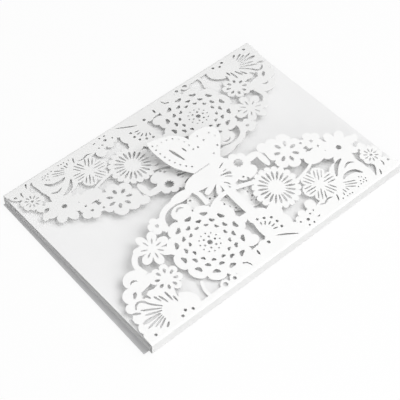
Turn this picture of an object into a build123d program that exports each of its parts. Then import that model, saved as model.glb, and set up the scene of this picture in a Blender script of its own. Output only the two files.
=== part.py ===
from build123d import *
import math
import os

# Driving dimensions, in millimetres and degrees
CARD_LENGTH = 180.0       # long edge of the shut invitation, along X
CARD_WIDTH = 128.0        # across the two spines, along Y
NEAR_SPINE = 8.0          # from the table to the top of the near flap's fold
FAR_SPINE = 6.6           # the far flap, which goes under, is folded lower
STOCK = 0.35              # pearl card of the wrap
FOLD_RADIUS = 0.8         # centre line of a scored fold
HEM = 1.6                 # plain strip of each flap beside its fold
FAR_TILT = 4.5            # the far flap springs up from its fold by this angle
FLAP_GAP = 3.0            # the near flap, on top, passes this far above the far flap's crease

# Inner card, folded in three
INNER_STOCK = 0.4
END_INSET = 0.2           # the inner card stops short of the wrap's ends
SIDE_CLEARANCE = 1.0      # between the inner card and the inside of a spine
FLAP_CLEARANCE = 0.9      # between the inner card's top and the fold of a flap
LEAF_SHARE = 0.75         # the tucked leaf lies this share of the way down to the bottom panel
LEAF_SETBACK = 9.0        # the tucked leaf stops short of the far fold

# Loose reply sheet on the back panel
SHEET_STOCK = 0.3
SHEET_LENGTH = 89.0       # along the card
SHEET_TURN = 0.9          # turned clockwise, seen from above
SHEET_SLIP = 3.4          # its near left corner stands out past the wrap's end
SHEET_CLEARANCE = 0.2     # between its corners and the rounds of the spine folds

# The lace is drawn on a flap of this size, with u along the fold and v away from it
DRAWN_SIZE = (182.0, 128.6)
LACE_SHIFT = (-1.4, 0.5)  # the drawing sits this far off the flap's middle and off its fold
WING_CREASE = 65.6        # v of the crease across the butterfly
WING_ROOT = (-4.0, 15.0)  # u of the crease's two ends


# Points and outlines of the lace, as lists of (u, v)
def polar(centre, radius, angle):
    """The point at a radius and an angle in degrees from a centre."""
    turn = math.radians(angle)
    return (centre[0] + radius * math.cos(turn), centre[1] + radius * math.sin(turn))


def flower(centre, reach, notch, petals, turn=0.0, steps=4):
    """Outline of round petals: reach at the tips and notch between them, a petal's tip at turn."""
    points = []
    for index in range(petals * steps):
        swell = math.sin(math.pi * (index % steps) / steps) ** 0.6
        angle = turn + 360.0 * (index / steps - 0.5) / petals
        points.append(polar(centre, notch + (reach - notch) * swell, angle))
    return points


def oval(centre, long, short, turn=0.0, sides=10):
    """Outline of a leaf, bud or lobe as an ellipse of the two half sizes."""
    points = []
    for index in range(sides):
        angle = 2.0 * math.pi * index / sides
        along, across = long * math.cos(angle), short * math.sin(angle)
        lean = math.radians(turn)
        points.append((centre[0] + along * math.cos(lean) - across * math.sin(lean),
                       centre[1] + along * math.sin(lean) + across * math.cos(lean)))
    return points


def between(start, end, along, across):
    """The point a share of the way from start to end, and some millimetres to its left."""
    du, dv = end[0] - start[0], end[1] - start[1]
    length = math.hypot(du, dv)
    return (start[0] + du * along - dv / length * across, start[1] + dv * along + du / length * across)


def petal(start, end, width):
    """A petal that widens from its root to a blunt tip."""
    shape = ((0.0, 0.12), (0.45, 0.4), (0.8, 0.5), (1.0, 0.2))
    left = [between(start, end, along, width * share) for along, share in shape]
    right = [between(start, end, along, -width * share) for along, share in reversed(shape)]
    return right[::-1] + left[::-1]


def slit(start, end, width):
    """A cut slit: a kite, widest two thirds of the way out."""
    widest = 0.65
    return [start, between(start, end, widest, -width / 2), end, between(start, end, widest, width / 2)]


def band(route, width):
    """A stem of even width along a route of a few points."""
    left, right = [], []
    for index, point in enumerate(route):
        before, after = route[max(index - 1, 0)], route[min(index + 1, len(route) - 1)]
        du, dv = after[0] - before[0], after[1] - before[1]
        length = math.hypot(du, dv)
        side = (-dv / length * width / 2, du / length * width / 2)
        left.append((point[0] + side[0], point[1] + side[1]))
        right.append((point[0] - side[0], point[1] - side[1]))
    return right + left[::-1]


def crescent(centre, radius, start, stop, width, steps=3):
    """A slit along an arc, with pointed ends and its full width in the middle."""
    outer, inner = [], []
    for index in range(steps + 1):
        share = index / steps
        swell = width / 2 * math.sin(math.pi * share)
        angle = start + (stop - start) * share
        outer.append(polar(centre, radius + swell, angle))
        if 0 < index < steps:
            inner.append(polar(centre, radius - swell, angle))
    return outer + inner[::-1]


def ring_of_slits(centre, count, inner, outer, width, turn=0.0):
    """Slits that point away from a flower's centre."""
    cuts = []
    for index in range(count):
        angle = turn + 360.0 * index / count
        cuts.append(slit(polar(centre, inner, angle), polar(centre, outer, angle), width))
    return cuts


def ring_of_kites(centre, count, radius, depth, width, turn=0.0):
    """Kites that lie across the radius and point inwards, as between the petals of a double flower."""
    cuts = []
    for index in range(count):
        angle = turn + 360.0 * index / count
        spread = math.degrees(width / 2 / radius)
        ends = [polar(centre, radius + 0.1 * depth, angle + side * spread) for side in (-1, 1)]
        cuts.append([ends[0], polar(centre, radius + 0.45 * depth, angle), ends[1],
                     polar(centre, radius - 0.55 * depth, angle)])
    return cuts


def dot(centre, radius, sides=6):
    return oval(centre, radius, radius, 0.0, sides)


# Flowers: paper outline and cuts of each
def chrysanthemum(centre):
    cuts = ring_of_kites(centre, 12, 17.8, 2.3, 4.8)
    cuts += ring_of_kites(centre, 12, 14.2, 1.9, 3.8, turn=15.0)
    cuts += ring_of_kites(centre, 12, 10.5, 1.5, 2.9)
    cuts.append(dot(centre, 1.2))
    return [flower(centre, 23.2, 20.6, 12)], cuts


def daisy(centre):
    cuts = ring_of_slits(centre, 20, 4.6, 10.8, 1.3, turn=9.0)
    return [flower(centre, 14.0, 12.2, 20, steps=3)], cuts


def cosmos(centre):
    cuts = []
    for index in range(6):
        angle = 60.0 * index
        cuts.append(slit(polar(centre, 2.8, angle), polar(centre, 9.4, angle), 0.8))
        for side in (-1, 1):
            start = between(centre, polar(centre, 1.0, angle), 4.4, 1.8 * side)
            end = between(centre, polar(centre, 1.0, angle), 8.8, 2.1 * side)
            cuts.append(slit(start, end, 0.8))
    return [flower(centre, 11.2, 7.6, 6)], cuts


def lobed_flower(centre):
    cuts = ring_of_slits(centre, 7, 3.6, 7.2, 1.6, turn=5.0)
    return [flower(centre, 11.5, 8.8, 7, turn=5.0)], cuts


def star_flower(centre):
    cuts = ring_of_slits(centre, 7, 2.6, 6.4, 0.9, turn=3.0)
    return [flower(centre, 10.6, 4.6, 7, turn=3.0)], cuts


def aster(centre):
    cuts = ring_of_slits(centre, 8, 3.4, 6.2, 1.6, turn=20.0)
    return [flower(centre, 8.8, 6.2, 8, turn=20.0)], cuts


def eye_flower(centre):
    return [flower(centre, 11.8, 7.6, 8)], [dot(centre, 1.6)]


def corner_flower(centre):
    cuts = ring_of_slits(centre, 10, 1.8, 4.5, 0.9)
    return [flower(centre, 6.8, 5.4, 8, turn=22.5, steps=3)], cuts


def sprig(centre, reach, petals, hole=0.0):
    cuts = [dot(centre, hole)] if hole else []
    return [flower(centre, reach, 0.7 * reach, petals, turn=90.0, steps=3)], cuts


def fan_flower(centre):
    """The large flower at the corner, seen from the side, with slits spread over its petals."""
    cup = oval((centre[0] + 1.0, centre[1] - 1.5), 14.0, 9.0)
    leaf = oval((centre[0] - 13.5, centre[1] - 4.0), 9.0, 6.0)
    paper = [cup, leaf]
    petals = ((176, 22.0), (157, 22.2), (140, 21.5), (122, 18.5), (103, 17.0), (84, 16.5), (62, 12.0))
    for angle, reach in petals:
        paper.append(petal(centre, polar(centre, reach, angle), 8.0))
    cuts = []
    for index in range(13):
        angle = 206.0 - 12.4 * index
        outer = min(14.0 if index % 2 else 17.0, 11.0 + index * 2.0)
        cuts.append(slit(polar(centre, 7.0, angle), polar(centre, outer, angle), 1.5))
    return paper, cuts


def lily(centre):
    """Open lily with five slits round its throat."""
    throat = (centre[0] - 5.4, centre[1] - 2.0)
    cuts = []
    for angle in (74, 51, 28, 5, -18):
        cuts.append(slit(polar(throat, 4.0, angle), polar(throat, 7.8, angle), 0.9))
    return [oval(centre, 7.6, 12.0, sides=14)], cuts


def orchid(centre):
    """Orchid beside the fold: arched cuts round its hood and slits over its lip."""
    tip = (centre[0] + 7.0, centre[1] + 12.7)
    root = (centre[0] - 8.0, centre[1] - 2.0)
    paper = [oval(centre, 12.0, 12.4, sides=14), petal(root, tip, 8.0)]
    cuts = [crescent((centre[0] + 2.5, centre[1]), 10.0, 150.0, 75.0, 2.0),
            crescent((centre[0] + 2.5, centre[1]), 6.8, 120.0, 25.0, 1.2),
            crescent((centre[0] + 1.8, centre[1] - 3.4), 5.8, 140.0, -10.0, 2.2)]
    for angle, outer in ((-28, 9.0), (-52, 5.6), (-76, 4.8), (-104, 4.8)):
        cuts.append(slit(polar(root, 1.5, angle), polar(root, outer, angle), 0.8))
    return paper, cuts


def leaves_and_buds():
    """Oval leaves, buds and lobes that fill in between the flowers, and their cuts."""
    beside_fan = [oval((-72.5, 34.3), 6.4, 5.4), oval((-79.4, 27.6), 5.2, 4.8),
                  oval((-84.2, 22.0), 3.2, 3.0), oval((-71.0, 29.6), 9.0, 3.0, turn=10.0)]
    on_arch = [oval((-26.0, 51.0), 6.2, 4.6), oval((-19.5, 58.6), 7.4, 3.0)]
    over_daisy = [oval((19.6, 48.4), 6.8, 4.2), oval((33.0, 49.8), 2.0, 5.6),
                  oval((38.6, 50.2), 2.7, 5.0), oval((28.0, 54.8), 6.0, 2.2)]
    on_right_edge = [oval((37.6, 55.4), 3.6, 3.2), oval((43.6, 54.6), 3.6, 3.2),
                     oval((50.6, 53.0), 3.8, 3.6), oval((58.8, 44.2), 6.5, 4.6, turn=-20.0),
                     oval((57.4, 33.4), 7.2, 4.9)]
    by_lily = [oval((14.6, 20.0), 4.0, 5.0), oval((-4.5, 8.0), 3.4, 3.0)]
    on_hem = [oval((-36.8, 2.7), 2.9, 2.9), oval((-30.5, 2.6), 2.8, 2.8), oval((-23.0, 2.8), 5.0, 3.6),
              oval((-8.0, 4.4), 11.0, 5.6), oval((9.0, 6.0), 12.0, 6.6, turn=-15.0),
              oval((43.0, 4.2), 13.4, 5.8), oval((82.0, 4.2), 9.5, 6.0)]
    cuts = [dot((-36.8, 2.7), 1.1), dot((-30.5, 2.6), 0.9), slit((-79.6, 25.6), (-76.8, 28.4), 1.5),
            crescent((-74.4, 32.0), 2.4, 150.0, 20.0, 0.7), crescent((-26.0, 50.6), 3.0, 150.0, 30.0, 0.8),
            crescent((18.0, 14.0), 14.8, 205.0, 240.0, 0.9),
            slit((76.6, 3.4), (79.6, 8.4), 1.0), slit((84.4, 4.4), (85.0, 8.6), 1.0)]
    return beside_fan + on_arch + over_daisy + on_right_edge + by_lily + on_hem, cuts


def stems():
    """Stems that tie the flowers together, each a width and a route."""
    ties = ((1.9, ((-46.8, 0.5), (-47.6, 6.0), (-45.6, 12.0))),
            (5.6, ((4.0, 46.0), (4.0, 36.0), (4.4, 26.0))),
            (2.6, ((-14.0, 41.0), (-6.0, 44.8), (5.0, 45.4), (19.0, 41.0))),
            (2.8, ((-12.4, 59.0), (-10.8, 53.0), (-11.4, 46.0))),
            (3.2, ((-39.5, 46.0), (-37.4, 53.5), (-31.5, 57.6), (-23.0, 58.2))),
            (3.2, ((-65.6, 33.0), (-66.6, 40.0), (-63.0, 45.0), (-56.0, 47.0))),
            (1.7, ((39.0, 27.4), (44.5, 28.5), (49.5, 29.8), (53.0, 31.6))),
            (2.6, ((76.4, 6.0), (73.8, 13.0), (72.8, 21.0))),
            (6.0, ((15.0, 50.0), (15.8, 56.0), (14.0, 62.0))),
            (4.0, ((52.0, 50.0), (58.0, 47.0), (63.0, 43.0))),
            (5.0, ((79.0, 24.0), (82.0, 22.5), (84.0, 19.0))))
    return [band(route, width) for width, route in ties], []


def butterfly_body():
    """Body lobe below the wing crease, with a spray of petals under it."""
    root = (4.0, 55.4)
    middle = (-2.0, 60.0)
    shoulder = [(WING_ROOT[0], 58.0), (WING_ROOT[0], WING_CREASE), (WING_ROOT[1], WING_CREASE),
                (17.0, 61.0), (14.0, 55.0)]
    paper = [oval(middle, 13.0, WING_CREASE - middle[1]), shoulder]
    spray = (((-8.2, 51.2), 3.4), ((-2.4, 46.4), 3.4), ((3.4, 45.4), 3.6), ((9.0, 45.6), 4.2),
             ((13.6, 48.6), 6.2))
    paper += [petal(root, tip, width) for tip, width in spray]
    cuts = [slit((9.2, 60.0), (13.4, 61.5), 0.9), slit((9.4, 57.0), (12.0, 57.2), 0.7)]
    return paper, cuts


def butterfly_wings():
    """Fore and hind wing past the crease, and the slits of the fore wing."""
    fore = [(WING_ROOT[0], WING_CREASE), (-10.6, 76.0), (-13.0, 89.0), (-12.4, 96.2), (-10.6, 97.3),
            (-2.4, 95.2), (4.6, 91.4), (8.6, 85.0), (9.0, 74.0), (8.0, WING_CREASE)]
    hind = [(3.0, WING_CREASE), (8.4, 84.4), (12.4, 87.0), (19.0, 86.8), (24.2, 84.4), (26.0, 80.4),
            (24.0, 75.6), (18.4, 69.4), (WING_ROOT[1], WING_CREASE)]
    cuts = [slit((-2.2, 75.8), (-4.9, 86.6), 1.1), slit((2.3, 79.6), (1.7, 83.2), 1.0)]
    return [fore, hind], cuts


def flap_lace():
    """All paper outlines and cuts of a flap between its hem and the wing crease."""
    end = DRAWN_SIZE[0]
    paper, cuts = [[(-end, 0), (end, 0), (end, 2 * HEM), (-end, 2 * HEM)]], []
    motifs = (chrysanthemum((-26.3, 27.2)), daisy((25.8, 31.0)), cosmos((46.3, 17.7)),
              lobed_flower((46.6, 45.4)), star_flower((-53.0, 43.0)), aster((-58.8, 24.4)),
              eye_flower((72.3, 29.2)), corner_flower((83.2, 14.2)), fan_flower((-67.5, 8.0)),
              lily((6.6, 15.6)), orchid((63.5, 10.8)), sprig((20.0, 56.2), 7.0, 6),
              sprig((-42.0, 52.3), 5.4, 5, 1.1), sprig((63.6, 40.6), 6.4, 5, 0.9),
              sprig((25.0, 5.4), 6.6, 6, 1.1), leaves_and_buds(), stems(), butterfly_body())
    for outlines, holes in motifs:
        paper += outlines
        cuts += holes
    return paper, cuts


# The flaps as flat sheets, then as plates
STRETCH_U = CARD_LENGTH / DRAWN_SIZE[0]
STRETCH_V = CARD_WIDTH / DRAWN_SIZE[1]
CREASE = WING_CREASE * STRETCH_V + LACE_SHIFT[1]


def on_flap(points):
    """A face from drawn points, stretched to the card's real size and put in its place on the flap."""
    corners = [(u * STRETCH_U + LACE_SHIFT[0], v * STRETCH_V + LACE_SHIFT[1]) for u, v in points]
    return Polygon(*corners, align=None)


def cut_sheet(paper, cuts):
    """One flat sheet: all paper outlines together, less the cuts."""
    sheet = Sketch() + [on_flap(points) for points in paper]
    return sheet - [on_flap(points) for points in cuts]


def trimmed(sheet):
    """The sheet between the hem and the wing crease, within the card's ends."""
    window = Pos(0, (HEM + CREASE) / 2) * Rectangle(CARD_LENGTH, CREASE - HEM)
    return sheet & window


# Where the sheets lie
SPINE_PLACE = CARD_WIDTH / 2 - STOCK / 2        # centre line of a spine, from the middle
NEAR_FOLD = NEAR_SPINE - STOCK / 2              # centre lines of the flap folds, above the table
FAR_FOLD = FAR_SPINE - STOCK / 2
CREASE_HEIGHT = FAR_FOLD + CREASE * math.sin(math.radians(FAR_TILT))
CREASE_REACH = 2 * SPINE_PLACE - CREASE * math.cos(math.radians(FAR_TILT))
NEAR_TILT = math.degrees(math.atan((CREASE_HEIGHT + FLAP_GAP - NEAR_FOLD) / CREASE_REACH))
TUCK_ANGLE = NEAR_TILT + 1.5                    # the far wings dip clear of the near flap


def flap_plane(side, fold, tilt):
    """Middle plane of a flap: u runs along its fold and v away from it, side -1 for the near flap."""
    lean = math.radians(tilt)
    return Plane(origin=(0, side * SPINE_PLACE, fold), x_dir=(-side, 0, 0),
                 z_dir=(0, side * math.sin(lean), math.cos(lean)))


def plate(sheet):
    """A flat sheet given the wrap's thickness, half of it to each side."""
    return Pos(0, 0, -STOCK / 2) * extrude(sheet, amount=STOCK, dir=(0, 0, 1))


def tray():
    """Back panel, spines and the hems of both flaps, folded from one strip and as long as the card."""
    route = []
    for side, fold, tilt in ((-1, NEAR_FOLD, NEAR_TILT), (1, FAR_FOLD, FAR_TILT)):
        lean = math.radians(tilt)
        ends = [(side * (SPINE_PLACE - HEM * math.cos(lean)), fold + HEM * math.sin(lean)),
                (side * SPINE_PLACE, fold), (side * SPINE_PLACE, STOCK / 2)]
        route += ends if side < 0 else ends[::-1]
    section = Plane.YZ * trace(FilletPolyline(*route, radius=FOLD_RADIUS), line_width=STOCK)
    return extrude(section, amount=CARD_LENGTH / 2, both=True)


def lace_wrap():
    """The whole wrap: both flaps are cut alike, and the far one's wings are creased down."""
    body = plate(trimmed(cut_sheet(*flap_lace())))
    wings = plate(cut_sheet(*butterfly_wings()))
    near = flap_plane(-1, NEAR_FOLD, NEAR_TILT)
    far = flap_plane(1, FAR_FOLD, FAR_TILT)
    dip = math.radians(TUCK_ANGLE)
    tucked = Plane(origin=far.from_local_coords((0, CREASE, 0)), x_dir=far.x_dir,
                   z_dir=(0, -math.sin(dip), math.cos(dip)))
    near_flap = [near.location * body, near.location * wings]
    far_flap = [far.location * body, tucked.location * Pos(0, -CREASE) * wings]
    return tray() + near_flap + far_flap


def folded_card():
    """Inner card folded in three: bottom panel, far fold, top panel, near fold and the tucked leaf."""
    reach = CARD_WIDTH / 2 - STOCK - SIDE_CLEARANCE - INNER_STOCK / 2
    low = STOCK + SHEET_STOCK + INNER_STOCK / 2
    under_flap = STOCK + FLAP_CLEARANCE + INNER_STOCK / 2
    near_top, far_top = NEAR_SPINE - under_flap, FAR_SPINE - under_flap
    near_leaf = near_top - LEAF_SHARE * (near_top - low)
    far_leaf = far_top - LEAF_SHARE * (far_top - low)
    route = ((-reach, low), (reach, low), (reach, far_top), (-reach, near_top), (-reach, near_leaf),
             (reach - LEAF_SETBACK, far_leaf))
    section = Plane.YZ * trace(FilletPolyline(*route, radius=FOLD_RADIUS), line_width=INNER_STOCK)
    return extrude(section, amount=CARD_LENGTH / 2 - END_INSET, both=True)


def loose_sheet():
    """Plain sheet that has slid out and turned a little, as wide as the spines let it be."""
    turn = math.radians(SHEET_TURN)
    edge = SPINE_PLACE - FOLD_RADIUS - SHEET_CLEARANCE
    width = (2 * edge - SHEET_LENGTH * math.sin(turn)) / math.cos(turn)
    corner = (-CARD_LENGTH / 2 - SHEET_SLIP, SHEET_LENGTH * math.sin(turn) - edge)
    sheet = Box(SHEET_LENGTH, width, SHEET_STOCK, align=(Align.MIN, Align.MIN, Align.MIN))
    return Pos(*corner, STOCK) * Rot(0, 0, -SHEET_TURN) * sheet


os.makedirs("parts", exist_ok=True)
pieces = {"lace_wrap": lace_wrap(), "folded_card": folded_card(), "loose_sheet": loose_sheet()}
for name, piece in pieces.items():
    export_step(piece, f"parts/{name}.step")
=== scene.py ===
import math

import bpy
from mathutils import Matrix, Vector, geometry


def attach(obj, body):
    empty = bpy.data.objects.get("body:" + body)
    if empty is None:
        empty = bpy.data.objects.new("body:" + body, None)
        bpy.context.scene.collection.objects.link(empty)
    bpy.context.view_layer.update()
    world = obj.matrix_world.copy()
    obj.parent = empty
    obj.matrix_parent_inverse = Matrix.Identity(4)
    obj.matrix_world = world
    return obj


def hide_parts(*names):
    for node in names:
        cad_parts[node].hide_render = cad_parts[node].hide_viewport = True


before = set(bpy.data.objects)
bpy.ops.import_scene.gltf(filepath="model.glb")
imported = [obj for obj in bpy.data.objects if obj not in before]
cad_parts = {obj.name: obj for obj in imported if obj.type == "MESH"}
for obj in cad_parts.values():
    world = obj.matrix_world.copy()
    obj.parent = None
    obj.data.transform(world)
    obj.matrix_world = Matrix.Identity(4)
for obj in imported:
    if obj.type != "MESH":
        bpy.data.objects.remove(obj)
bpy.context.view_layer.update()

# Sizes of the folded wrap, in millimetres and degrees
CARD_LENGTH = 180.0
CARD_WIDTH = 128.0
NEAR_SPINE = 8.0
FAR_SPINE = 6.6
STOCK = 0.35
FOLD_RADIUS = 0.8
HEM = 1.6
FAR_TILT = 4.5
FLAP_GAP = 3.0
WING_DIP = 1.5
SCORE_DEPTH = 0.10
SCORE_HALF_WIDTH = 0.45
SCORE_SHARES = (0.3, 0.68)
METRE = 0.001

# The lace is drawn on a flap of this size, with u along the fold and v away from it
DRAWN_SIZE = (182.0, 128.6)
LACE_SHIFT = (-1.4, 0.5)
WING_CREASE = 65.6
WING_ROOT = (-4.0, 15.0)
WING_REACH = 98.0

STRETCH_U = CARD_LENGTH / DRAWN_SIZE[0]
STRETCH_V = CARD_WIDTH / DRAWN_SIZE[1]
CREASE = WING_CREASE * STRETCH_V + LACE_SHIFT[1]
SPINE_PLACE = CARD_WIDTH / 2 - STOCK / 2
NEAR_FOLD = NEAR_SPINE - STOCK / 2
FAR_FOLD = FAR_SPINE - STOCK / 2
CREASE_HEIGHT = FAR_FOLD + CREASE * math.sin(math.radians(FAR_TILT))
CREASE_REACH = 2 * SPINE_PLACE - CREASE * math.cos(math.radians(FAR_TILT))
NEAR_TILT = math.degrees(math.atan((CREASE_HEIGHT + FLAP_GAP - NEAR_FOLD) / CREASE_REACH))
TUCK_ANGLE = NEAR_TILT + WING_DIP

# Flat sheet: spacing of its inner points, how near points become one, and where edges stay crisp
POINT_PITCH = 3.0
MERGE_REACH = 1e-4
CRISP_ANGLE = 35.0

# Paper: noise scales of fibres and pulp, depth of the grain in metres, and swing of the roughness
FIBRE_SCALE = 1400.0
PULP_SCALE = 90.0
GRAIN_DEPTH = 0.00005
ROUGHNESS_SWING = 0.06
COAT_ROUGHNESS = 0.35

# Floor: half its side in metres, its own tone, its tone to the eye, and the share of plain white in it
FLOOR_HALF = 3.0
FLOOR_TONE = 0.55
SEEN_FLOOR_TONE = 0.9
FLOOR_GLOW = 0.85

# Camera, in metres and degrees, with its lens in millimetres
CAMERA_TARGET = (-0.01147, -0.01002, NEAR_SPINE * METRE)
CAMERA_AZIMUTH = -40.952
CAMERA_ELEVATION = 52.037
CAMERA_DISTANCE = 0.6677
CAMERA_LENS = 110.385
CAMERA_SENSOR = 36.0
CAMERA_SIGHT = 20.0


# Nodes of any tree
def add(tree, kind, inputs=None, **settings):
    """A node with its settings, and its inputs linked to sockets or set to values."""
    node = tree.nodes.new(kind)
    for name, value in settings.items():
        setattr(node, name, value)
    for key, value in (inputs or {}).items():
        if isinstance(value, bpy.types.NodeSocket):
            tree.links.new(value, node.inputs[key])
        else:
            node.inputs[key].default_value = value
    return node


def maths(tree, operation, first, second):
    return add(tree, "ShaderNodeMath", {0: first, 1: second}, operation=operation).outputs[0]


# Paper finishes
def noise(tree, place, scale, detail):
    return add(tree, "ShaderNodeTexNoise", {"Vector": place, "Scale": scale, "Detail": detail}).outputs["Fac"]


def paper(name, colour, roughness, coat, grain, cloud):
    """Card with a faint fibre grain and slightly cloudy pulp; coat gives the pearl sheen."""
    finish = bpy.data.materials.new(name)
    finish.use_nodes = True
    tree = finish.node_tree
    shader = tree.nodes["Principled BSDF"]
    shader.inputs["Coat Weight"].default_value = coat
    shader.inputs["Coat Roughness"].default_value = COAT_ROUGHNESS
    place = add(tree, "ShaderNodeTexCoord").outputs["Object"]
    fibres = noise(tree, place, FIBRE_SCALE, detail=3.0)
    pulp = noise(tree, place, PULP_SCALE, detail=4.0)
    dark = (*(channel * (1.0 - cloud) for channel in colour), 1.0)
    light = (*(min(channel * (1.0 + cloud), 1.0) for channel in colour), 1.0)
    tone = add(tree, "ShaderNodeMix", {"Factor": pulp, "A": dark, "B": light}, data_type="RGBA")
    gloss = add(tree, "ShaderNodeMapRange", {"Value": fibres, "To Min": roughness - ROUGHNESS_SWING,
                                             "To Max": roughness + ROUGHNESS_SWING})
    bump = add(tree, "ShaderNodeBump", {"Strength": grain, "Distance": GRAIN_DEPTH, "Height": fibres})
    tree.links.new(tone.outputs["Result"], shader.inputs["Base Color"])
    tree.links.new(gloss.outputs["Result"], shader.inputs["Roughness"])
    tree.links.new(bump.outputs["Normal"], shader.inputs["Normal"])
    return finish


pearl_card = paper("pearl_card", (0.90, 0.90, 0.895), roughness=0.42, coat=0.15, grain=0.25, cloud=0.02)
inner_card = paper("inner_card", (0.88, 0.88, 0.88), roughness=0.55, coat=0.0, grain=0.2, cloud=0.015)
# Painted shade: the loose sheet's grey colour stands for the shadow on its strip at the card's end; its own
# paper is paler
sheet_paper = paper("sheet_paper", (0.58, 0.58, 0.585), roughness=0.7, coat=0.0, grain=0.2, cloud=0.03)


# Points and outlines of the lace, in millimetres: u along the fold, v away from it
def polar(centre, radius, angle):
    turn = math.radians(angle)
    return (centre[0] + radius * math.cos(turn), centre[1] + radius * math.sin(turn))


def between(start, end, along, across):
    """The point a share of the way from start to end, and some millimetres to its left."""
    du, dv = end[0] - start[0], end[1] - start[1]
    length = math.hypot(du, dv)
    return (start[0] + du * along - dv / length * across, start[1] + dv * along + du / length * across)


def flower(centre, reach, notch, petals, turn=0.0, steps=10, round_off=0.5):
    """Outline of round petals: reach at the tips and notch between them, a petal's tip at turn."""
    points = []
    for index in range(petals * steps):
        swell = math.sin(math.pi * (index % steps) / steps) ** round_off
        angle = turn + 360.0 * (index / steps - 0.5) / petals
        points.append(polar(centre, notch + (reach - notch) * swell, angle))
    return points


def oval(centre, long, short, turn=0.0, sides=28):
    points = []
    lean = math.radians(turn)
    for index in range(sides):
        angle = 2.0 * math.pi * index / sides
        along, across = long * math.cos(angle), short * math.sin(angle)
        points.append((centre[0] + along * math.cos(lean) - across * math.sin(lean),
                       centre[1] + along * math.sin(lean) + across * math.cos(lean)))
    return points


def dot(centre, radius):
    return oval(centre, radius, radius, sides=12)


def petal(start, end, width):
    """A petal that widens from its root to a round tip."""
    shape = ((0.0, 0.12), (0.25, 0.3), (0.5, 0.43), (0.75, 0.5), (0.88, 0.44), (0.96, 0.28), (1.0, 0.0))
    left = [between(start, end, along, width * share) for along, share in shape]
    right = [between(start, end, along, -width * share) for along, share in shape[:-1]]
    return right + left[::-1]


def slit(start, end, width):
    """A long cut with rounded ends, widest towards its outer end."""
    shape = ((0.03, 0.22), (0.2, 0.34), (0.45, 0.46), (0.7, 0.5), (0.9, 0.36), (0.98, 0.16))
    left = [between(start, end, along, width * share) for along, share in shape]
    right = [between(start, end, along, -width * share) for along, share in shape]
    return right + left[::-1]


def on_curve(a, b, c, d, t):
    """The point a share t of the way from b to c, on a smooth curve through all four."""
    return tuple(0.5 * (2 * b[k] + (c[k] - a[k]) * t + (2 * a[k] - 5 * b[k] + 4 * c[k] - d[k]) * t * t
                        + (3 * b[k] - a[k] - 3 * c[k] + d[k]) * t ** 3) for k in (0, 1))


def along_route(route, steps=6):
    """A smooth line through a few points."""
    ends = [route[0], *route, route[-1]]
    points = []
    for index in range(1, len(ends) - 2):
        points += [on_curve(*ends[index - 1:index + 3], step / steps) for step in range(steps)]
    return points + [route[-1]]


def round_trip(route, steps=5):
    """A smooth closed outline through a few points."""
    count = len(route)
    points = []
    for index in range(count):
        nearby = [route[(index + k) % count] for k in (-1, 0, 1, 2)]
        points += [on_curve(*nearby, step / steps) for step in range(steps)]
    return points


def band(route, width, taper=0.0):
    """A stem along a smooth route; taper narrows its two ends."""
    line = along_route(route)
    left, right = [], []
    for index, point in enumerate(line):
        before, after = line[max(index - 1, 0)], line[min(index + 1, len(line) - 1)]
        du, dv = after[0] - before[0], after[1] - before[1]
        length = math.hypot(du, dv)
        share = index / (len(line) - 1)
        half = width / 2 * (1.0 - taper * abs(2.0 * share - 1.0) ** 2)
        left.append((point[0] - dv / length * half, point[1] + du / length * half))
        right.append((point[0] + dv / length * half, point[1] - du / length * half))
    return right + left[::-1]


def crescent(centre, radius, start, stop, width, steps=10):
    """A cut along an arc, with pointed ends and its full width in the middle."""
    outer, inner = [], []
    for index in range(steps + 1):
        share = index / steps
        swell = width / 2 * math.sin(math.pi * share) ** 0.8
        angle = start + (stop - start) * share
        outer.append(polar(centre, radius + swell, angle))
        if 0 < index < steps:
            inner.append(polar(centre, radius - swell, angle))
    return outer + inner[::-1]


# Node trees that lay out repeated cuts
def new_tree(name, sizes):
    """An empty node tree with a named input for each size."""
    tree = bpy.data.node_groups.new(name, "GeometryNodeTree")
    for label, kind in sizes:
        tree.interface.new_socket(label, in_out="INPUT", socket_type="NodeSocket" + kind)
    tree.interface.new_socket("Cuts", in_out="OUTPUT", socket_type="NodeSocketGeometry")
    return tree


def finish_tree(tree, spots, outline, angle):
    """Instances the outline on the spots, turned by the angle, and ends the tree."""
    turn = add(tree, "ShaderNodeCombineXYZ", {"Z": angle}).outputs[0]
    copies = add(tree, "GeometryNodeInstanceOnPoints",
                 {"Points": spots, "Instance": outline, "Rotation": turn})
    real = add(tree, "GeometryNodeRealizeInstances", {"Geometry": copies.outputs[0]})
    dressed = add(tree, "GeometryNodeSetMaterial", {"Geometry": real.outputs[0], "Material": pearl_card})
    made = tree.nodes.new("NodeGroupOutput")
    tree.links.new(dressed.outputs[0], made.inputs[0])


def cut_outline(tree, given):
    """One cut: an oval or kite, tapered along its depth and with its sides swept outwards."""
    plain = add(tree, "GeometryNodeMeshCircle", {"Vertices": given["Sides"], "Radius": 0.5}, fill_type="NGON")
    place = add(tree, "GeometryNodeInputPosition").outputs[0]
    split = add(tree, "ShaderNodeSeparateXYZ", {0: place})
    depth, width = split.outputs[0], split.outputs[1]
    swept = maths(tree, "MULTIPLY", maths(tree, "ABSOLUTE", width, 0.0), given["Sweep"])
    along = maths(tree, "ADD", maths(tree, "MULTIPLY", depth, given["Depth"]), swept)
    share = maths(tree, "ADD", maths(tree, "MULTIPLY", depth, given["Taper"]), 1.0)
    across = maths(tree, "MULTIPLY", maths(tree, "MULTIPLY", width, given["Width"]), share)
    moved = add(tree, "ShaderNodeCombineXYZ", {"X": along, "Y": across}).outputs[0]
    shaped = add(tree, "GeometryNodeSetPosition", {"Geometry": plain.outputs[0], "Position": moved})
    return shaped.outputs[0]


CUT_SIZES = (("Depth", "Float"), ("Width", "Float"), ("Sides", "Int"), ("Taper", "Float"), ("Sweep", "Float"))
LINE_STEPS = 48


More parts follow.
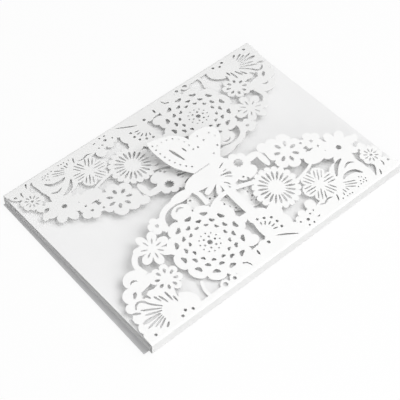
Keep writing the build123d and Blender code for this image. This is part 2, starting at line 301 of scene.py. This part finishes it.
def ring_tree():
    """Cuts round a flower's centre, each pointing outwards."""
    ring_sizes = (("Count", "Int"), ("Radius", "Float"), ("Turn", "Float"))
    tree = new_tree("ring_of_cuts", ring_sizes + CUT_SIZES)
    given = tree.nodes.new("NodeGroupInput").outputs
    ring = add(tree, "GeometryNodeMeshCircle", {"Vertices": given["Count"], "Radius": given["Radius"]})
    spin = add(tree, "ShaderNodeCombineXYZ", {"Z": given["Turn"]}).outputs[0]
    turned = add(tree, "GeometryNodeTransform", {"Geometry": ring.outputs[0], "Rotation": spin})
    place = add(tree, "GeometryNodeInputPosition").outputs[0]
    split = add(tree, "ShaderNodeSeparateXYZ", {0: place})
    outward = maths(tree, "ARCTAN2", split.outputs[1], split.outputs[0])
    finish_tree(tree, turned.outputs[0], cut_outline(tree, given), outward)
    return tree


def row_tree():
    """Cuts along a bowed line, each lying along it."""
    row_sizes = (("Count", "Int"), ("Start", "Vector"), ("Middle", "Vector"), ("End", "Vector"))
    tree = new_tree("row_of_cuts", row_sizes + CUT_SIZES)
    given = tree.nodes.new("NodeGroupInput").outputs
    line = add(tree, "GeometryNodeCurveQuadraticBezier",
               {"Resolution": LINE_STEPS, "Start": given["Start"], "Middle": given["Middle"],
                "End": given["End"]})
    spots = add(tree, "GeometryNodeCurveToPoints",
                {"Curve": line.outputs[0], "Count": given["Count"]}, mode="COUNT")
    split = add(tree, "ShaderNodeSeparateXYZ", {0: spots.outputs["Tangent"]})
    forward = maths(tree, "ARCTAN2", split.outputs[1], split.outputs[0])
    finish_tree(tree, spots.outputs[0], cut_outline(tree, given), forward)
    return tree


RING = ring_tree()
ROW = row_tree()


def laid_out(tree, sizes, shift=(0.0, 0.0)):
    """The outlines that a tree makes with these sizes, moved to their flower."""
    blank = bpy.data.meshes.new(tree.name)
    stencil = bpy.data.objects.new(tree.name, blank)
    bpy.context.scene.collection.objects.link(stencil)
    step = stencil.modifiers.new("cuts", "NODES")
    step.node_group = tree
    for socket in tree.interface.items_tree:
        if socket.in_out == "INPUT":
            step[socket.identifier] = sizes[socket.name]
    depsgraph = bpy.context.evaluated_depsgraph_get()
    mesh = bpy.data.meshes.new_from_object(stencil.evaluated_get(depsgraph))
    outlines = []
    for face in mesh.polygons:
        corners = [mesh.vertices[index].co for index in face.vertices]
        outlines.append([(corner.x + shift[0], corner.y + shift[1]) for corner in corners])
    bpy.data.objects.remove(stencil)
    bpy.data.meshes.remove(blank)
    bpy.data.meshes.remove(mesh)
    return outlines


def ring(centre, count, radius, depth, width, turn=0.0, sides=12, taper=0.0, sweep=0.0):
    return laid_out(RING, {"Count": count, "Radius": radius, "Turn": math.radians(turn), "Depth": depth,
                           "Width": width, "Sides": sides, "Taper": taper, "Sweep": sweep}, centre)


def row(count, start, middle, end, depth, width, sides=10):
    line = {"Start": (*start, 0.0), "Middle": (*middle, 0.0), "End": (*end, 0.0)}
    return laid_out(ROW, {"Count": count, **line, "Depth": depth, "Width": width, "Sides": sides,
                          "Taper": 0.0, "Sweep": 0.0})


# Flowers: paper outlines and cuts of each
def chrysanthemum(centre):
    """Three staggered rings of kite cuts round a dotted centre."""
    petals = 12
    half_step = 180.0 / petals
    cuts = ring(centre, petals, radius=17.7, depth=2.4, width=4.6, sides=8, sweep=1.3)
    cuts += ring(centre, petals, radius=13.8, depth=2.0, width=3.5, turn=half_step, sides=8, sweep=1.1)
    cuts += ring(centre, petals, radius=10.6, depth=1.7, width=2.8, sides=8, sweep=0.9)
    cuts += ring(centre, petals, radius=5.8, depth=1.0, width=1.0, turn=half_step, sides=8)
    cuts += ring(centre, 6, radius=3.5, depth=1.3, width=1.3, sides=10)
    cuts.append(dot(centre, 1.5))
    return [flower(centre, 23.3, 20.7, petals)], cuts


def daisy(centre):
    petals = 20
    cuts = ring(centre, petals, radius=7.7, depth=6.2, width=1.3, turn=180.0 / petals, taper=0.7)
    return [flower(centre, 14.0, 12.2, petals, steps=8)], cuts


def cosmos(centre):
    """Three slits in each petal, the middle one the longest."""
    petals, turn, slit_width = 6, -4.0, 0.85
    cuts = ring(centre, petals, radius=6.4, depth=7.6, width=slit_width, turn=turn)
    for side in (-1, 1):
        for index in range(petals):
            outward = polar(centre, 1.0, 360.0 / petals * index + turn)
            start = between(centre, outward, 4.2, 1.8 * side)
            end = between(centre, outward, 9.4, 2.2 * side)
            cuts.append(slit(start, end, slit_width))
    return [flower(centre, 11.2, 7.6, petals, turn=turn, steps=14)], cuts


def lobed_flower(centre):
    petals, turn = 7, 5.0
    cuts = ring(centre, petals, radius=5.4, depth=3.9, width=2.1, turn=turn, taper=0.2)
    return [flower(centre, 11.5, 8.8, petals, turn=turn, steps=12)], cuts


def star_flower(centre):
    petals, turn = 7, 3.0
    cuts = ring(centre, petals, radius=4.5, depth=3.8, width=0.85, turn=turn)
    return [flower(centre, 10.6, 4.6, petals, turn=turn, steps=14, round_off=0.6)], cuts


def aster(centre):
    petals, turn = 8, 20.0
    cuts = ring(centre, petals, radius=4.9, depth=2.9, width=1.7, turn=turn, taper=0.5)
    return [flower(centre, 8.8, 6.2, petals, turn=turn)], cuts


def eye_flower(centre):
    return [flower(centre, 11.8, 7.6, petals=8, steps=12, round_off=0.8)], [dot(centre, 1.6)]


def corner_flower(centre):
    cuts = ring(centre, 10, radius=3.2, depth=2.7, width=0.9, taper=0.4)
    cuts.append(dot(centre, 0.9))
    return [flower(centre, 6.8, 5.4, petals=8, turn=22.5)], cuts


def sprig(centre, reach, petals, holes):
    return [flower(centre, reach, 0.7 * reach, petals, turn=90.0, steps=12)], holes


def fan_flower():
    """The large flower at the corner, seen from the side, with slits spread over its petals."""
    centre = (-67.5, 8.0)
    petal_width, ray_width, gap_width = 8.0, 1.25, 1.6
    outlines = [oval((centre[0] + 1.0, centre[1] - 1.5), 14.0, 9.0),
                oval((centre[0] - 13.5, centre[1] - 4.0), 9.0, 6.0)]
    petals = ((176, 22.0), (157, 22.2), (140, 21.5), (122, 18.5), (103, 17.0), (84, 16.5), (62, 12.0))
    for angle, reach in petals:
        outlines.append(petal(centre, polar(centre, reach, angle), petal_width))
    rays = (((-73.8, 4.6), (-76.7, 2.5)), ((-73.8, 7.4), (-80.0, 4.3)), ((-73.8, 8.7), (-81.3, 6.4)),
            ((-73.8, 9.8), (-85.0, 7.9)), ((-72.3, 11.5), (-81.3, 14.8)), ((-71.5, 12.6), (-81.6, 18.4)),
            ((-69.4, 15.8), (-70.9, 20.6)), ((-66.9, 13.3), (-68.6, 19.4)), ((-64.4, 12.5), (-64.6, 19.4)),
            ((-62.7, 10.6), (-62.7, 14.8)), ((-60.7, 12.7), (-59.2, 16.7)))
    wide_ray = ((-73.8, 10.9), (-85.4, 11.6))
    round_petal = ((-70.6, 13.4), (-75.2, 18.4), (-76.8, 21.2), (-79.2, 22.7), (-81.6, 21.8), (-82.8, 20.0))
    gaps = ((148.5, 17.0, 21.5), (112.5, 13.5, 18.0))
    cuts = [slit(start, end, ray_width) for start, end in rays]
    cuts.append(slit(*wide_ray, width=2.3))
    cuts.append(band(round_petal, width=1.3, taper=0.5))
    for angle, near, far in gaps:
        cuts.append(slit(polar(centre, near, angle), polar(centre, far, angle), gap_width))
    return outlines, cuts


def lily(centre):
    """Open lily with five slits and five stamens round its throat."""
    throat = (centre[0] - 5.4, centre[1] - 2.0)
    slit_width, spot_radius = 0.9, 0.85
    cuts = []
    stamens = ((70, 4.4, 6.8, 76, 8.8), (47, 4.4, 7.2, 51, 8.9), (25, 5.0, 7.8, 28, 10.2),
               (5, 5.0, 7.9, 6.5, 10.0), (-14, 4.9, 8.0, -16, 10.1))
    for angle, near, far, spot_angle, spot_reach in stamens:
        cuts.append(slit(polar(throat, near, angle), polar(throat, far, angle), slit_width))
        cuts.append(dot(polar(throat, spot_reach, spot_angle), spot_radius))
    return [oval(centre, 7.6, 12.0)], cuts


def orchid():
    """Orchid beside the fold: arched cuts round its hood, slits over its lip and a spray of dots."""
    centre = (63.5, 10.8)
    lip_width, spot_radius = 0.75, 0.42
    tip = (centre[0] + 7.0, centre[1] + 12.7)
    root = (centre[0] - 8.0, centre[1] - 2.0)
    outlines = [oval(centre, 12.0, 12.4), petal(root, tip, 8.0)]
    arches = ((2.6, ((57.5, 15.5), (61.0, 19.8), (64.0, 21.8), (68.0, 22.8))),
              (1.2, ((65.0, 17.0), (69.0, 18.3), (72.0, 16.5))),
              (2.4, ((59.3, 12.0), (63.0, 13.2), (68.0, 12.2), (71.0, 8.5))))
    cuts = [band(route, width, taper=0.8) for width, route in arches]
    lip = (((57.2, 10.4), (64.2, 7.2)), ((57.0, 9.0), (63.8, 5.3)), ((56.4, 7.8), (61.6, 4.2)),
           ((55.8, 7.2), (56.8, 4.8)), ((54.0, 7.6), (54.5, 4.6)), ((52.8, 6.0), (52.2, 4.0)))
    cuts += [slit(start, end, lip_width) for start, end in lip]
    spray = ((68.2, 6.8), (66.0, 5.3), (68.0, 4.8), (69.5, 4.9), (64.8, 3.6), (66.7, 3.7), (68.5, 3.2),
             (62.3, 3.2), (67.0, 7.8), (50.0, 3.0), (53.2, 2.6), (55.0, 2.8), (56.8, 2.4))
    cuts += [dot(spot, spot_radius) for spot in spray]
    return outlines, cuts


def leaves_and_buds():
    """Oval leaves, buds and lobes that fill in between the flowers, and their cuts."""
    beside_fan = [oval((-72.5, 34.3), 6.4, 5.4), oval((-79.4, 27.6), 5.2, 4.8),
                  oval((-84.2, 22.0), 3.2, 3.0), oval((-71.0, 29.6), 9.0, 3.0, turn=10.0)]
    on_arch = [oval((-26.0, 51.0), 6.2, 4.6), oval((-19.5, 58.6), 7.4, 3.0)]
    over_daisy = [oval((19.6, 48.4), 6.8, 4.2), oval((33.0, 49.8), 2.0, 5.6),
                  oval((38.6, 50.2), 2.7, 5.0), oval((28.0, 54.8), 6.0, 2.2)]
    on_right_edge = [oval((37.6, 55.4), 3.6, 3.2), oval((43.6, 54.6), 3.6, 3.2), oval((50.6, 53.0), 3.8, 3.6),
                     oval((57.4, 42.6), 5.4, 3.8, turn=-20.0), oval((57.4, 33.4), 7.2, 4.9),
                     oval((83.6, 28.2), 3.4, 2.0, turn=35.0)]
    by_lily = [oval((14.6, 20.0), 4.0, 5.0), oval((-4.5, 8.0), 3.4, 3.0), oval((-7.8, 14.2), 4.4, 3.4),
               oval((32.6, 11.2), 3.2, 3.4)]
    by_chrysanthemum = [oval((-7.6, 42.2), 3.4, 3.2), oval((-5.6, 35.6), 2.8, 4.6)]
    round_lily = [oval((1.4, 24.2), 2.4, 3.6), oval((14.5, 12.5), 4.0, 5.0), oval((-2.8, 26.2), 1.9, 1.6)]
    on_hem = [oval((-36.8, 2.7), 2.9, 2.9), oval((-30.5, 2.6), 2.8, 2.8), oval((-23.0, 2.8), 5.0, 3.6),
              oval((-8.0, 4.4), 11.0, 5.6), oval((9.0, 6.0), 12.0, 6.6, turn=-15.0),
              oval((43.0, 4.2), 13.4, 5.8), oval((82.0, 4.2), 9.5, 6.0)]
    cuts = [dot((-36.8, 2.8), 1.4), dot((-30.5, 2.7), 1.1), slit((-79.6, 25.4), (-76.6, 28.4), 2.0),
            crescent((-74.0, 31.6), radius=2.4, start=150.0, stop=20.0, width=1.2),
            crescent((-26.0, 50.4), radius=3.2, start=150.0, stop=30.0, width=1.3)]
    hem_spots = ((88.8, 6.0), (-84.0, 2.9), (-66.3, 2.6), (-63.1, 4.4), (-59.4, 2.6))
    cuts += [dot(spot, 0.9) for spot in hem_spots]
    leaves = beside_fan + on_arch + over_daisy + on_right_edge
    leaves += by_lily + by_chrysanthemum + round_lily + on_hem
    return leaves, cuts


def small_gaps():
    """Slits and gaps left where the leaves and stems cross."""
    lines = ((1.1, ((37.0, 8.0), (40.0, 7.0), (43.2, 8.0), (46.6, 7.2))),
             (0.8, ((48.9, 7.4), (48.2, 5.2), (46.9, 3.2))),
             (1.0, ((4.4, 8.5), (9.4, 5.6), (15.3, 1.6))),
             (0.7, ((-19.8, 6.3), (-18.6, 4.6), (-18.0, 2.4))),
             (1.2, ((-10.3, 4.8), (-10.2, 6.4), (-9.8, 8.2))),
             (0.9, ((80.0, 4.5), (79.4, 2.6), (78.0, 0.8))),
             (0.9, ((85.0, 8.5), (84.9, 6.2), (84.0, 4.5))),
             (0.7, ((1.8, 51.0), (1.5, 48.2), (-0.4, 47.6))),
             (0.8, ((4.9, 51.6), (6.4, 49.8), (7.0, 47.9))),
             (0.8, ((7.7, 53.9), (10.0, 52.8), (11.6, 51.3))),
             (0.7, ((-10.5, 11.2), (-8.2, 10.6), (-6.0, 11.0))),
             (0.7, ((30.5, 3.4), (31.4, 3.0), (32.6, 3.3))))
    cuts = [band(route, width, taper=0.9) for width, route in lines]
    windows = (((-73.3, 24.3), (-72.8, 26.3), (-70.0, 25.9), (-68.8, 27.0), (-66.0, 25.5), (-68.0, 24.2),
                (-71.0, 24.6)),
               ((55.8, 41.0), (58.2, 41.3), (58.2, 39.0), (60.4, 37.9), (57.0, 37.5), (56.6, 39.2)),
               ((79.3, 24.6), (80.8, 26.0), (83.2, 26.2), (82.4, 24.4), (80.8, 23.3)),
               ((75.4, 11.8), (77.6, 10.8), (79.8, 8.6), (79.2, 6.4), (77.4, 4.0), (75.4, 2.4), (76.0, 5.4)))
    cuts += [round_trip(route) for route in windows]
    holes = ((-75.2, 23.2, 0.9), (-1.5, 7.8, 1.0), (80.0, 20.6, 0.8), (85.8, 20.6, 0.8), (12.5, 46.8, 0.7),
             (16.0, 47.5, 0.7), (17.5, 45.2, 0.8))
    cuts += [dot((u, v), radius) for u, v, radius in holes]
    return [], cuts


def stems():
    """Stems that tie the flowers together, each a width and a route."""
    ties = ((1.9, ((-46.8, 0.5), (-47.6, 6.0), (-45.6, 12.0))),
            (5.6, ((4.0, 46.0), (4.0, 36.0), (4.4, 26.0))),
            (3.4, ((-5.0, 27.6), (-1.0, 27.6), (3.0, 27.4))),
            (2.6, ((-14.0, 41.0), (-6.0, 44.8), (5.0, 45.4), (19.0, 41.0))),
            (2.8, ((-12.4, 59.0), (-10.8, 53.0), (-11.4, 46.0))),
            (3.2, ((-39.5, 46.0), (-37.4, 53.5), (-31.5, 57.6), (-23.0, 58.2))),
            (3.2, ((-65.6, 33.0), (-66.6, 40.0), (-63.0, 45.0), (-56.0, 47.0))),
            (1.7, ((39.0, 27.4), (44.5, 28.5), (49.5, 29.8), (53.0, 31.6))),
            (2.6, ((76.4, 6.0), (73.8, 13.0), (72.8, 21.0))),
            (6.0, ((15.0, 50.0), (15.8, 56.0), (14.0, 62.0))),
            (2.4, ((53.0, 47.0), (58.0, 44.5), (62.0, 42.0))),
            (5.0, ((79.0, 24.0), (82.0, 22.5), (84.0, 19.0))))
    return [band(route, width) for width, route in ties], []


def butterfly_body():
    """Body lobe below the wing crease, with a spray of petals under it."""
    root = (4.0, 55.4)
    middle = (-2.0, 60.0)
    shoulder = [(WING_ROOT[0], 58.0), (WING_ROOT[0], WING_CREASE), (WING_ROOT[1], WING_CREASE),
                (17.0, 61.0), (14.0, 55.0)]
    outlines = [oval(middle, 13.0, WING_CREASE - middle[1]), shoulder]
    spray = (((-8.2, 51.2), 3.4), ((-2.4, 46.4), 3.4), ((3.4, 45.4), 3.6), ((9.0, 45.6), 4.2),
             ((13.6, 48.6), 6.2))
    outlines += [petal(root, tip, width) for tip, width in spray]
    cuts = [slit((9.2, 60.0), (13.4, 61.5), 0.9), slit((9.4, 57.0), (12.0, 57.2), 0.7)]
    cuts += row(10, (-3.4, WING_CREASE), (1.5, WING_CREASE), (6.5, WING_CREASE), depth=0.85, width=0.55)
    return outlines, cuts


def butterfly_wings():
    """Fore and hind wing past the crease, with their dotted borders and slits."""
    fore = along_route(((WING_ROOT[0], WING_CREASE), (-10.6, 76.0), (-13.0, 89.0), (-12.4, 96.2),
                        (-10.6, 97.3), (-2.4, 95.2), (4.6, 91.4), (8.6, 85.0), (9.0, 74.0),
                        (8.0, WING_CREASE)))
    hind = along_route(((3.0, WING_CREASE), (8.4, 84.4), (12.4, 87.0), (19.0, 86.8), (24.2, 84.4),
                        (26.0, 80.4), (24.0, 75.6), (18.4, 69.4), (WING_ROOT[1], WING_CREASE)))
    cuts = [slit((-2.2, 75.8), (-4.9, 86.6), 1.8), slit((2.3, 79.6), (1.7, 83.2), 1.0)]
    cuts += row(9, (-2.0, 70.0), (-11.2, 78.0), (-10.6, 94.0), depth=1.15, width=1.15)
    cuts += row(8, (-8.4, 92.6), (6.4, 95.0), (6.3, 78.6), depth=1.1, width=1.1)
    hind_spots = ((9.3, 78.0), (13.8, 84.0), (15.0, 79.8), (20.7, 81.7), (22.0, 78.2), (18.8, 72.5),
                  (13.5, 69.5))
    cuts += [dot(spot, 0.65) for spot in hind_spots]
    return [fore, hind], cuts


def flap_lace():
    """All paper outlines and cuts of a flap between its hem and the wing crease."""
    end = DRAWN_SIZE[0]
    outlines, cuts = [[(-end, 0.0), (end, 0.0), (end, 2 * HEM), (-end, 2 * HEM)]], []
    toothed_place, arch_place = (20.0, 56.2), (-42.0, 52.3)
    toothed_hole = [flower(toothed_place, 2.8, 2.1, petals=10, steps=6)]
    arch_hole = [dot(arch_place, 1.1)]
    edge_holes = [dot((62.9, 42.0), 1.0), dot((57.0, 44.6), 0.8), dot((63.7, 37.2), 0.7)]
    hem_holes = [dot((25.2, 5.0), 1.0)]
    hem_holes += [dot(spot, 0.6) for spot in ((20.9, 6.3), (28.6, 7.0), (26.7, 1.7), (23.5, 2.0))]
    motifs = (chrysanthemum((-26.3, 27.2)), daisy((25.8, 31.0)), cosmos((46.3, 17.7)),
              lobed_flower((46.6, 45.4)), star_flower((-53.0, 43.0)), aster((-58.8, 24.4)),
              eye_flower((72.3, 29.2)), corner_flower((83.2, 14.2)), fan_flower(), lily((6.6, 15.6)),
              orchid(), sprig(toothed_place, 7.0, 6, toothed_hole), sprig(arch_place, 5.4, 5, arch_hole),
              sprig((63.0, 41.6), 6.6, 5, edge_holes), sprig((25.0, 5.4), 6.6, 6, hem_holes),
              leaves_and_buds(), small_gaps(), stems(), butterfly_body())
    for shapes, holes in motifs:
        outlines += shapes
        cuts += holes
    return outlines, cuts


# The flat sheet of one flap, as triangles between four kinds of outline
WINDOW, PAPER, WINGS, CUTS = range(4)


def facing_up(outline):
    """The outline anticlockwise."""
    twice = sum(a[0] * b[1] - b[0] * a[1] for a, b in zip(outline, outline[1:] + outline[:1]))
    return outline if twice > 0 else outline[::-1]


def on_flap(outline):
    """Drawn points, stretched to the card's real size and put in their place on the flap."""
    return [(u * STRETCH_U + LACE_SHIFT[0], v * STRETCH_V + LACE_SHIFT[1]) for u, v in outline]


def flat_flap():
    """Points and triangles of a flap: paper between hem and crease and the wings past it, less all cuts."""
    end = CARD_LENGTH / 2
    window = [(-end, HEM), (end, HEM), (end, CREASE), (-end, CREASE)]
    body, body_cuts = flap_lace()
    wings, wing_cuts = butterfly_wings()
    groups = {WINDOW: [window], PAPER: map(on_flap, body), WINGS: map(on_flap, wings),
              CUTS: map(on_flap, body_cuts + wing_cuts)}
    points, faces, kinds = [], [], []
    for kind, outlines in groups.items():
        for outline in outlines:
            faces.append(list(range(len(points), len(points) + len(outline))))
            points += [Vector(point) for point in facing_up(outline)]
            kinds.append(kind)
    for column in range(int(CARD_LENGTH / POINT_PITCH)):
        for line in range(int(WING_REACH / POINT_PITCH)):
            points.append(Vector((-end + (column + 0.5) * POINT_PITCH, HEM + (line + 0.5) * POINT_PITCH)))
    spots, _, triangles, _, _, sources = geometry.delaunay_2d_cdt(points, [], faces, 0, MERGE_REACH)
    kept = []
    for triangle, source in zip(triangles, sources):
        found = {kinds[index] for index in source}
        if CUTS not in found and (WINGS in found or {WINDOW, PAPER} <= found):
            kept.append(tuple(triangle))
    return spots, kept


# Where a point of the flat flap lies once folded
def folded(side, fold, tilt, tuck=None):
    """A function from (u, v) to a point and the sheet's upward direction there."""
    lean = math.radians(tilt)
    rise = Vector((0.0, -side * math.cos(lean), math.sin(lean)))
    up = Vector((0.0, side * math.sin(lean), math.cos(lean)))
    base = Vector((0.0, side * SPINE_PLACE, fold))
    crease = base + rise * CREASE

    def place(u, v):
        across = Vector((-side * u, 0.0, 0.0))
        if tuck is None or v <= CREASE:
            return base + across + rise * v, up
        dip = math.radians(tuck)
        down = Vector((0.0, -side * math.cos(dip), -math.sin(dip)))
        return crease + across + down * (v - CREASE), Vector((0.0, -side * math.sin(dip), math.cos(dip)))

    return place


def plated(spots, triangles, place):
    """The sheet with its thickness: upper and lower face, and a wall round each edge."""
    used = sorted({index for triangle in triangles for index in triangle})
    number = {index: count for count, index in enumerate(used)}
    count = len(used)
    upper, lower = [], []
    for index in used:
        point, up = place(*spots[index])
        upper.append(point + up * (STOCK / 2))
        lower.append(point - up * (STOCK / 2))
    faces, seen = [], {}
    for triangle in triangles:
        a, b, c = (number[index] for index in triangle)
        faces.append((a, b, c))
        faces.append((a + count, c + count, b + count))
        for start, end in ((a, b), (b, c), (c, a)):
            seen[(start, end)] = True
    for start, end in list(seen):
        if (end, start) not in seen:
            faces.append((start + count, end + count, end, start))
    return upper + lower, faces


def rounded(route, radius, steps=6):
    """A bent line with an arc at each of its corners."""
    points = [Vector(route[0])]
    for before, corner, after in zip(route, route[1:], route[2:]):
        corner = Vector(corner)
        back = (Vector(before) - corner).normalized()
        ahead = (Vector(after) - corner).normalized()
        half = back.angle(ahead) / 2
        reach = radius / math.tan(half)
        middle = corner + (back + ahead).normalized() * (radius / math.sin(half))
        start, end = corner + back * reach - middle, corner + ahead * reach - middle
        swing = start.angle_signed(end)
        for step in range(steps + 1):
            angle = -swing * step / steps
            points.append(middle + Vector((start.x * math.cos(angle) - start.y * math.sin(angle),
                                           start.x * math.sin(angle) + start.y * math.cos(angle))))
    return points + [Vector(route[-1])]


def strip(route, thickness, length):
    """A sheet bent along a route of (y, z) points and as long as the card, with closed ends."""
    left, right = [], []
    for index, point in enumerate(route):
        before, after = route[max(index - 1, 0)], route[min(index + 1, len(route) - 1)]
        ahead = (after - before).normalized()
        side = Vector((-ahead.y, ahead.x)) * (thickness / 2)
        left.append(point + side)
        right.append(point - side)
    ring_points = left + right[::-1]
    count, size = len(route), 2 * len(route)
    points = [Vector((x, p.x, p.y)) for x in (-length / 2, length / 2) for p in ring_points]
    faces = [(i, (i + 1) % size, (i + 1) % size + size, i + size) for i in range(size)]
    for i in range(count - 1):
        j = size - 1 - i
        faces.append((i + 1, i, j, j - 1))
        faces.append((i + size, i + 1 + size, j - 1 + size, j + size))
    return points, faces


def with_scores(route):
    """The bent line with two shallow score grooves across each spine."""
    points = []
    for here, ahead in zip(route, route[1:]):
        points.append(here)
        run = ahead - here
        is_spine = abs(run.x) < STOCK and run.length > 2 * FOLD_RADIUS
        if not is_spine:
            continue
        inward = Vector((-math.copysign(SCORE_DEPTH, here.x), 0.0))
        step = run.normalized() * SCORE_HALF_WIDTH
        for share in SCORE_SHARES:
            middle = here + run * share
            points += [middle - step, middle + inward, middle + step]
    return points + [route[-1]]


def tray():
    """Back panel, spines and the hems of both flaps."""
    route = []
    for side, fold, tilt in ((-1, NEAR_FOLD, NEAR_TILT), (1, FAR_FOLD, FAR_TILT)):
        lean = math.radians(tilt)
        part = [(side * (SPINE_PLACE - HEM * math.cos(lean)), fold + HEM * math.sin(lean)),
                (side * SPINE_PLACE, fold), (side * SPINE_PLACE, STOCK / 2)]
        route += part if side < 0 else part[::-1]
    return strip(with_scores(rounded(route, FOLD_RADIUS)), STOCK, CARD_LENGTH)


def made_piece(name, shells, finish):
    """One mesh from several shells, in metres, with crisp cut edges."""
    points, faces = [], []
    for shell_points, shell_faces in shells:
        start = len(points)
        points += [point * METRE for point in shell_points]
        faces += [tuple(index + start for index in face) for face in shell_faces]
    mesh = bpy.data.meshes.new(name)
    mesh.from_pydata(points, [], faces)
    mesh.validate()
    mesh.materials.append(finish)
    mesh.polygons.foreach_set("use_smooth", [True] * len(mesh.polygons))
    mesh.set_sharp_from_angle(angle=math.radians(CRISP_ANGLE))
    piece = bpy.data.objects.new(name, mesh)
    bpy.context.scene.collection.objects.link(piece)
    return piece


spots, triangles = flat_flap()
near_flap = plated(spots, triangles, folded(-1, NEAR_FOLD, NEAR_TILT))
far_flap = plated(spots, triangles, folded(1, FAR_FOLD, FAR_TILT, TUCK_ANGLE))
wrap = made_piece("lace_wrap_paper", (tray(), near_flap, far_flap), pearl_card)
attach(wrap, "root")
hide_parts("lace_wrap")

# The loose sheet gets the grey with painted shade
for node, finish in (("folded_card", inner_card), ("loose_sheet", sheet_paper)):
    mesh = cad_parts[node].data
    mesh.materials.clear()
    mesh.materials.append(finish)


# Floor, light and camera
def floor():
    """Pale matt floor, which eyes and reflections see as white and which keeps a faint shadow."""
    mesh = bpy.data.meshes.new("floor")
    corners = [(x * FLOOR_HALF, y * FLOOR_HALF, 0.0) for x, y in ((-1, -1), (1, -1), (1, 1), (-1, 1))]
    mesh.from_pydata(corners, [], [(0, 1, 2, 3)])
    ground = bpy.data.objects.new("floor", mesh)
    bpy.context.scene.collection.objects.link(ground)
    white = bpy.data.materials.new("floor_white")
    white.use_nodes = True
    tree = white.node_tree
    tree.nodes.clear()
    path = add(tree, "ShaderNodeLightPath").outputs
    mirrored = maths(tree, "MAXIMUM", path["Is Glossy Ray"], path["Is Transmission Ray"])
    seen = maths(tree, "MAXIMUM", path["Is Camera Ray"], mirrored)
    tone = add(tree, "ShaderNodeMapRange", {"Value": seen, "To Min": FLOOR_TONE, "To Max": SEEN_FLOOR_TONE})
    matt = add(tree, "ShaderNodeBsdfDiffuse", {"Color": tone.outputs[0]})
    glow = add(tree, "ShaderNodeEmission", {"Strength": 1.0})
    share = maths(tree, "MULTIPLY", seen, FLOOR_GLOW)
    mix = add(tree, "ShaderNodeMixShader", {0: share, 1: matt.outputs[0], 2: glow.outputs[0]})
    add(tree, "ShaderNodeOutputMaterial", {"Surface": mix.outputs[0]})
    mesh.materials.append(white)


def soft_light(name, place, size, power):
    lamp = bpy.data.lights.new(name, "AREA")
    lamp.shape = "DISK"
    lamp.size = size
    lamp.energy = power
    light = bpy.data.objects.new(name, lamp)
    light.location = place
    light.rotation_euler = (-Vector(place)).to_track_quat("-Z", "Y").to_euler()
    bpy.context.scene.collection.objects.link(light)


def sky(strength):
    """White overhead, fading to dark at the horizon."""
    world = bpy.data.worlds.new("studio")
    world.use_nodes = True
    tree = world.node_tree
    background = tree.nodes["Background"]
    background.inputs["Color"].default_value = (1.0, 1.0, 1.0, 1.0)
    place = add(tree, "ShaderNodeTexCoord").outputs["Generated"]
    height = add(tree, "ShaderNodeSeparateXYZ", {0: place}).outputs["Z"]
    fade = add(tree, "ShaderNodeMapRange", {"Value": height, "To Max": strength})
    tree.links.new(fade.outputs[0], background.inputs["Strength"])
    bpy.context.scene.world = world


def camera():
    lens = bpy.data.cameras.new("camera")
    lens.lens = CAMERA_LENS
    lens.sensor_width = CAMERA_SENSOR
    lens.clip_end = CAMERA_SIGHT
    eye = bpy.data.objects.new("camera", lens)
    azimuth, elevation = math.radians(CAMERA_AZIMUTH), math.radians(CAMERA_ELEVATION)
    back = Vector((math.sin(azimuth) * math.cos(elevation), -math.cos(azimuth) * math.cos(elevation),
                   math.sin(elevation)))
    eye.location = Vector(CAMERA_TARGET) + back * CAMERA_DISTANCE
    eye.rotation_euler = (-back).to_track_quat("-Z", "Y").to_euler()
    bpy.context.scene.collection.objects.link(eye)
    bpy.context.scene.camera = eye


floor()
soft_light("key", (0.60, -0.88, 1.70), size=1.5, power=18.8)
soft_light("fill", (-0.30, -0.86, 0.28), size=0.5, power=2.5)
sky(strength=0.88)
camera()
bpy.context.scene.view_settings.view_transform = "Standard"
